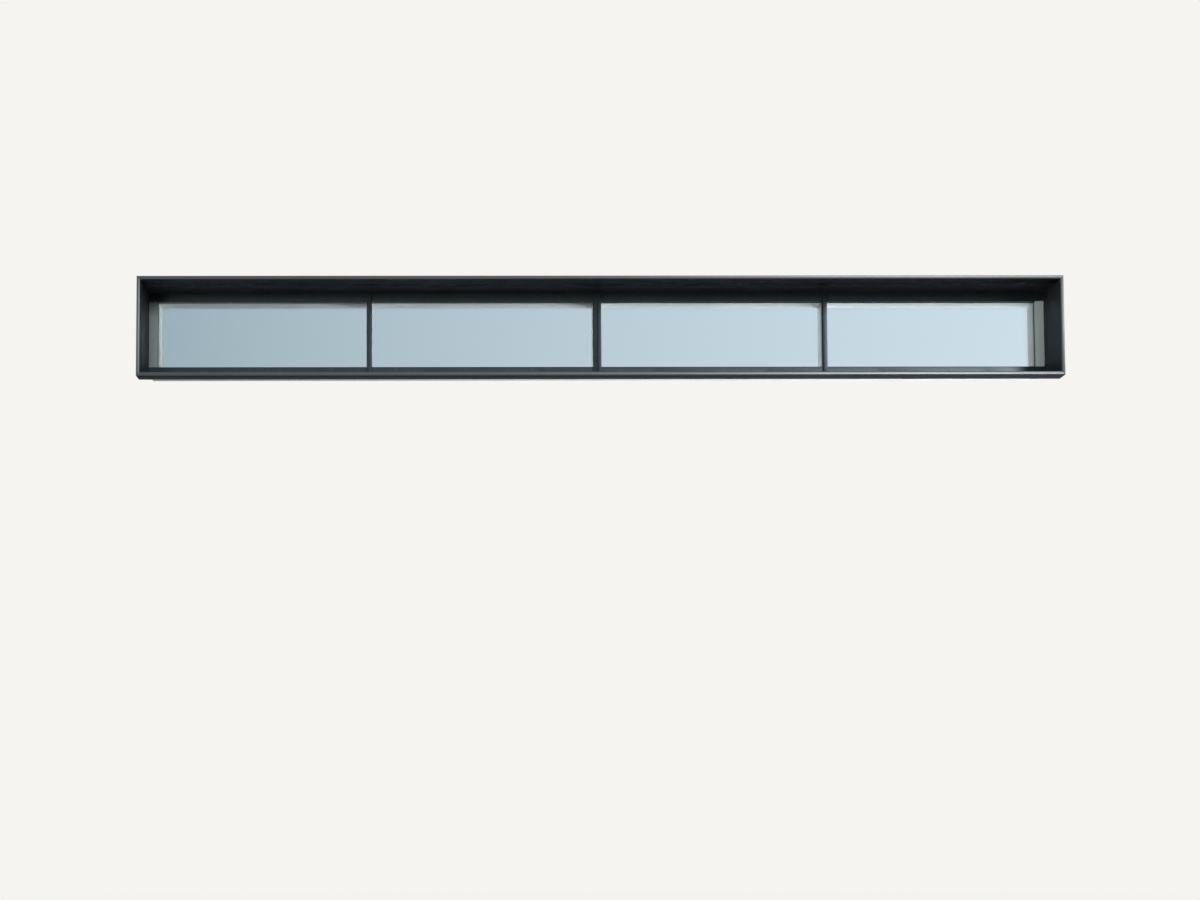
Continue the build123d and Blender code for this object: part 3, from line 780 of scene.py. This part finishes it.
def joint(sizes):
    """Sealant joint on three sides of the frame, tooled a little hollow."""
    low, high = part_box("perimeter_seal")
    width = sizes.joint_width
    # Up the left jamb, along the head and down the right jamb
    shoulder = high.z - width
    piece = begin("strip", "perimeter_seal_bead", low, (low.x + width, low.y, shoulder))
    pick("EDGE", lambda at, way: near(at.z, shoulder))
    pull(z=width)
    pick("EDGE", lambda at, way: along_z(way) and near(at.x, low.x + width) and at.z > shoulder)
    pull(x=high.x - low.x - 2 * width)
    pull(x=width)
    pick("EDGE", lambda at, way: along_x(way) and near(at.z, shoulder) and at.x > high.x - width)
    pull(z=low.z - shoulder)
    bpy.ops.mesh.select_all(action="SELECT")
    pull(y=high.y - low.y)
    bpy.ops.mesh.select_all(action="SELECT")
    bpy.ops.mesh.normals_make_consistent(inside=False)
    pick("FACE", lambda at, look: look.y < -0.9)
    bpy.ops.mesh.inset(thickness=sizes.joint_hollow, depth=-sizes.joint_hollow)
    finish_piece(piece, "joint_sealant", "perimeter_seal")


class WINDOW_OT_seals(bpy.types.Operator):
    """Models the gaskets, the spacers of the glass units and the sealant round the frame"""

    bl_idname = "window.seals"
    bl_label = "Gaskets, spacers and sealant"

    def execute(self, context):
        sizes = context.scene.window_sizes
        for number in LIGHTS:
            # The outer gasket's root is hidden in the pressure plate, so only what stands out is drawn
            low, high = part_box(f"outer_gasket_{number}")
            low.y = CAP_HIGH.y
            gasket(sizes, f"outer_gasket_{number}", low, high, sizes.outer_nose)
            low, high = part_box(f"inner_gasket_{number}")
            gasket(sizes, f"inner_gasket_{number}", low, high, sizes.inner_nose)
            spacer(sizes, f"spacer_{number}")
        joint(sizes)
        return {"FINISHED"}


# Screws and straps


def screw(sizes, name):
    """A pan-head screw that points down, with its head standing on the level of the origin."""
    deselect()
    radius, height = sizes.screw_head / 2, sizes.head_height
    bpy.ops.mesh.primitive_cylinder_add(
        vertices=24, radius=radius, depth=height, location=(0, 0, height / 2)
    )
    piece = bpy.context.object
    piece.name = piece.data.name = name
    bpy.ops.object.transform_apply(location=True, rotation=True, scale=True)
    bpy.ops.object.mode_set(mode="EDIT")
    dome = 1.1 * MM
    round_edges(lambda at, way: near(at.z, height), dome, 4)
    # Six-lobed drive: between the lobes a ring's vertices are drawn inward, then the ring is sunk
    rim, drive_radius, drive_depth, waist = 1.1 * MM, 2.2 * MM, 1.4 * MM, 0.74
    pick("FACE", lambda at, look: look.z > 0.99)
    bpy.ops.mesh.inset(thickness=rim)
    pick(
        "VERT",
        lambda at: near(at.z, height)
        and at.xy.length < drive_radius
        and math.cos(6 * math.atan2(at.y, at.x)) < -0.4,
    )
    bpy.ops.transform.resize(value=(waist, waist, 1), center_override=(0, 0, height))
    pick("FACE", lambda at, look: look.z > 0.99 and at.xy.length < 0.1 * MM)
    pull(z=-drive_depth)
    # Shank, with a point that narrows to half
    point = 1 * MM
    pick("FACE", lambda at, look: look.z < -0.99)
    bpy.ops.mesh.inset(thickness=radius - sizes.screw_shank / 2)
    pull(z=point - sizes.screw_length)
    pull(z=-point)
    bpy.ops.transform.resize(value=(0.5, 0.5, 1), center_override=(0, 0, -sizes.screw_length))
    bpy.ops.object.mode_set(mode="OBJECT")
    bpy.ops.object.shade_smooth_by_angle(angle=math.radians(35))
    give_finish(piece, FINISHES["screw_steel"])
    return piece


def copy_screw(first, name, place, turn, node_name):
    """Copies the screw, turns its head to an axis and sets it down at its place."""
    deselect()
    bpy.context.view_layer.objects.active = first
    first.select_set(True)
    bpy.ops.object.duplicate(linked=False)
    piece = bpy.context.object
    piece.name = piece.data.name = name
    piece.rotation_euler = turn
    piece.location = place
    bpy.ops.object.transform_apply(location=True, rotation=True, scale=True)
    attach(piece, "root")
    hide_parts(node_name)


def softened(name, width, slot, node_name):
    """A copy of a node's mesh, merged and freed of its triangles, with its edges broken."""
    deselect()
    original = frame["nodes"][node_name]
    bpy.context.view_layer.objects.active = original
    original.select_set(True)
    bpy.ops.object.duplicate(linked=False)
    piece = bpy.context.object
    piece.name = piece.data.name = name
    for mark in [key for key in piece.keys() if key.startswith("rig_")]:
        del piece[mark]
    bpy.ops.object.mode_set(mode="EDIT")
    bpy.ops.mesh.select_all(action="SELECT")
    bpy.ops.mesh.remove_doubles(threshold=0.01 * MM)
    bpy.ops.mesh.dissolve_limited(angle_limit=math.radians(0.5))
    break_edges(width)
    finish_piece(piece, slot, node_name)


def along_frame(end, count):
    """Even places along the frame, the first and the last at a distance from its ends."""
    pitch = (CAP_HIGH.x - CAP_LOW.x - 2 * end) / (count - 1)
    return [CAP_LOW.x + end + step * pitch for step in range(count)]


def screw_places(sizes):
    """The node that each screw stands for, its place and its turn."""
    up, down = (0, 0, 0), (math.pi, 0, 0)
    surround_y = CAP_LOW.y + 70 * MM
    places = []
    for x in along_frame(end=162 * MM, count=7):
        places.append(("surround_screws", (x, surround_y, HEAD_LOW.z + sizes.sheet), up))
        places.append(("surround_screws", (x, surround_y, SILL_HIGH.z - sizes.sheet), down))
    middle = (SILL_HIGH.z + CAP_HIGH.z) / 2
    lining = HEAD_HIGH.x - (HEAD_HIGH.z - HEAD_LOW.z) + sizes.sheet
    # Two screws in a row along each strap, and two straps on each jamb
    strap_low, strap_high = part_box("jamb_straps")
    strap_rows = [strap_low.y + inset for inset in (12 * MM, 47 * MM)]
    strap_end = 92 * MM
    for side in (-1, 1):
        turn = (0, side * math.pi / 2, 0)
        places.append(("surround_screws", (side * lining, surround_y, middle), turn))
        for y in strap_rows:
            for z in (SILL_HIGH.z + strap_end, CAP_HIGH.z - strap_end):
                places.append(("strap_screws", (side * strap_high.x, y, z), turn))
    head_strap_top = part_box("head_straps")[1].z
    for x in along_frame(end=182 * MM, count=6):
        for y in strap_rows:
            places.append(("strap_screws", (x, y, head_strap_top), up))
    return places


class WINDOW_OT_fixings(bpy.types.Operator):
    """Models the straps and the pan-head screws of the straps and the surround"""

    bl_idname = "window.fixings"
    bl_label = "Straps and screws"

    def execute(self, context):
        sizes = context.scene.window_sizes
        softened("head_strap_plates", sizes.strap_edge, "strap_steel", "head_straps")
        softened("jamb_strap_plates", sizes.strap_edge, "strap_steel", "jamb_straps")
        first = screw(sizes, "screw_pattern")
        for number, (node_name, place, turn) in enumerate(screw_places(sizes), start=1):
            copy_screw(first, f"{node_name}_{number:02d}", place, turn, node_name)
        deselect()
        first.select_set(True)
        bpy.ops.object.delete()
        return {"FINISHED"}


# Stage


class WINDOW_OT_stage(bpy.types.Operator):
    """Adds the floor, the sky, the lamps and the camera"""

    bl_idname = "window.stage"
    bl_label = "Stage"

    def execute(self, context):
        finishes = context.scene.window_finishes
        self.add_floor(finishes)
        self.add_sky(context, finishes)
        self.add_lamps()
        self.add_camera(context)
        context.scene.view_settings.view_transform = "Standard"
        return {"FINISHED"}

    def add_floor(self, finishes):
        """Ground below the window. The eye sees it pale, and the window gets less light back from it."""
        deselect()
        ground = -3.65
        bpy.ops.mesh.primitive_circle_add(
            vertices=96, radius=36, fill_type="NGON", location=(0, 0, ground)
        )
        floor = bpy.context.object
        floor.name = "floor"
        material = bpy.data.materials.new("pale_floor")
        material.use_nodes = True
        tree = material.node_tree
        tree.nodes.clear()
        path = node(tree, "LightPath").outputs
        # Seen by the eye and through the glass, and fainter in what the metal mirrors
        eye, glass, mirror = path["Is Camera Ray"], path["Is Transmission Ray"], path["Is Glossy Ray"]
        direct = node(tree, "Math", {0: path["Glossy Depth"], 1: 0.5}, operation="LESS_THAN").outputs[0]
        through = node(tree, "Math", {0: glass, 1: direct}, operation="MULTIPLY").outputs[0]
        mirrored = node(tree, "Math", {0: mirror, 1: 0.3}, operation="MULTIPLY").outputs[0]
        seen = node(tree, "Math", {0: through, 1: mirrored}, operation="MAXIMUM").outputs[0]
        seen = node(tree, "Math", {0: seen, 1: eye}, operation="MAXIMUM").outputs[0]
        # Mostly its own light, so that it meets the backdrop evenly, and enough of a matt ground to
        # hold the window's shadow
        backdrop = (*finishes.backdrop, 1)
        pale = node(tree, "BsdfDiffuse", {"Color": backdrop}).outputs[0]
        glow = node(tree, "Emission", {"Color": backdrop, "Strength": 1.05}).outputs[0]
        seen_floor = node(tree, "MixShader", {0: 0.88, 1: pale, 2: glow}).outputs[0]
        unseen_floor = node(tree, "BsdfDiffuse", {"Color": (0.06, 0.06, 0.058, 1)}).outputs[0]
        mixed = node(tree, "MixShader", {0: seen, 1: unseen_floor, 2: seen_floor}).outputs[0]
        node(tree, "OutputMaterial", {"Surface": mixed})
        floor.data.materials.append(material)

    def add_sky(self, context, finishes):
        """Soft light from above, a plain backdrop for the eye, and a sky for the glass that grows
        lighter from left to right."""
        world = bpy.data.worlds.new("studio_sky")
        context.scene.world = world
        world.use_nodes = True
        tree = world.node_tree
        tree.nodes.clear()
        way = node(tree, "SeparateXYZ", {0: node(tree, "TexCoord").outputs["Generated"]}).outputs
        path = node(tree, "LightPath").outputs
        eye, glass, mirror = path["Is Camera Ray"], path["Is Transmission Ray"], path["Is Glossy Ray"]
        # From left to right over the directions that the camera sees through the glass
        share = node(tree, "MapRange", {0: way["X"], 1: -0.14, 2: 0.26}).outputs[0]
        share = node(tree, "Math", {0: share, 1: 0.75}, operation="POWER").outputs[0]
        left, right = (*finishes.sky_left, 1), (*finishes.sky_right, 1)
        sky = node(tree, "Mix", {0: share, 6: left, 7: right}, data_type="RGBA").outputs[2]
        # What stands in front of the window, as its metal mirrors it, is darker than the sky behind
        front = node(tree, "MapRange", {0: way["Y"], 1: -0.5, 2: 0.1, 3: 0.6, 4: 1.0}).outputs[0]
        strength = node(tree, "Math", {0: front, 1: glass}, operation="MAXIMUM").outputs[0]
        through = node(tree, "Background", {"Color": sky, "Strength": strength}).outputs[0]
        # Soft light on the surfaces, stronger from above
        height = node(tree, "MapRange", {0: way["Z"], 1: -0.1, 2: 0.3, 3: 0.25, 4: 0.55}).outputs[0]
        daylight, backdrop = (0.97, 0.985, 1, 1), (*finishes.backdrop, 1)
        light = node(tree, "Background", {"Color": daylight, "Strength": height}).outputs[0]
        seen = node(tree, "Background", {"Color": backdrop, "Strength": 1.0}).outputs[0]
        clear = node(tree, "Math", {0: mirror, 1: glass}, operation="MAXIMUM").outputs[0]
        mixed = node(tree, "MixShader", {0: clear, 1: light, 2: through}).outputs[0]
        mixed = node(tree, "MixShader", {0: eye, 1: mixed, 2: seen}).outputs[0]
        node(tree, "OutputWorld", {"Surface": mixed})

    def add_lamps(self):
        """Key softbox to the right, a fill to the left, and lamps behind and beside for the white
        boxes."""
        self.add_lamp("key_lamp", (6.3, -10.6, 3.1), (0.3, 0, 0.2), 2.6, 680, glossy=True)
        self.add_lamp("fill_lamp", (-4.6, -8.6, 0.8), (0.5, 0, 0.2), 2.0, 800)
        self.add_lamp(
            "rear_low_lamp", (2.2, 1.45, -3.2), (0.6, 0.1, 0.3), 2.6, 112, 120, colour=(0.9, 0.96, 1.0)
        )
        for name, side in (("room_lamp_left", -1), ("room_lamp_right", 1)):
            self.add_lamp(name, (side * 13.0, 2.0, 0.3), (0, 0.15, 0.25), 2.6, 36, 40)

    def add_lamp(self, name, place, aim, size, power, spread=180, colour=(1, 1, 1), glossy=False):
        """A square lamp that shines from its place to its aim, of a size in metres, a power in watts
        and a spread in degrees. Where it is glossy, metal and glass mirror it."""
        bpy.ops.object.light_add(type="AREA", location=place)
        lamp = bpy.context.object
        lamp.name = name
        lamp.data.size = size
        lamp.data.energy = power
        lamp.data.color = colour
        lamp.data.spread = math.radians(spread)
        lamp.rotation_euler = (Vector(aim) - Vector(place)).to_track_quat("-Z", "Y").to_euler()
        lamp.visible_camera = False
        lamp.visible_transmission = False
        lamp.visible_glossy = glossy

    def add_camera(self, context):
        """The photograph's view, from below and a little left of the middle."""
        tilt, roll, pan = 94.28, 0.14, -0.436
        bpy.ops.object.camera_add(location=(-0.632, -10.68, -1.936))
        camera = bpy.context.object
        camera.name = "camera"
        camera.rotation_euler = [math.radians(turn) for turn in (tilt, roll, pan)]
        camera.data.lens = 70.05
        camera.data.sensor_width = 36
        # The photograph's vanishing point lies off its middle
        camera.data.shift_x = 0.1
        camera.data.shift_y = 0.1505
        context.scene.camera = camera


class WINDOW_PT_panel(bpy.types.Panel):
    """The window's steps in order"""

    bl_label = "Clerestory window"
    bl_idname = "WINDOW_PT_panel"
    bl_space_type = "VIEW_3D"
    bl_region_type = "UI"
    bl_category = "Window"

    def draw(self, context):
        for step in STEPS:
            self.layout.operator(step.bl_idname)


STEPS = (
    WINDOW_OT_finishes,
    WINDOW_OT_surround,
    WINDOW_OT_caps,
    WINDOW_OT_boxes,
    WINDOW_OT_seals,
    WINDOW_OT_fixings,
    WINDOW_OT_stage,
)
CLASSES = (WindowSizes, WindowFinishes, *STEPS, WINDOW_PT_panel)


def register():
    for group in CLASSES:
        bpy.utils.register_class(group)
    bpy.types.Scene.window_sizes = PointerProperty(type=WindowSizes)
    bpy.types.Scene.window_finishes = PointerProperty(type=WindowFinishes)


def unregister():
    del bpy.types.Scene.window_finishes
    del bpy.types.Scene.window_sizes
    for group in reversed(CLASSES):
        bpy.utils.unregister_class(group)


def main():
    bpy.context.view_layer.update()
    register()
    bpy.ops.window.finishes()
    bpy.ops.window.surround()
    bpy.ops.window.caps()
    bpy.ops.window.boxes()
    bpy.ops.window.seals()
    bpy.ops.window.fixings()
    bpy.ops.window.stage()


if __name__ == "__main__":
    main()
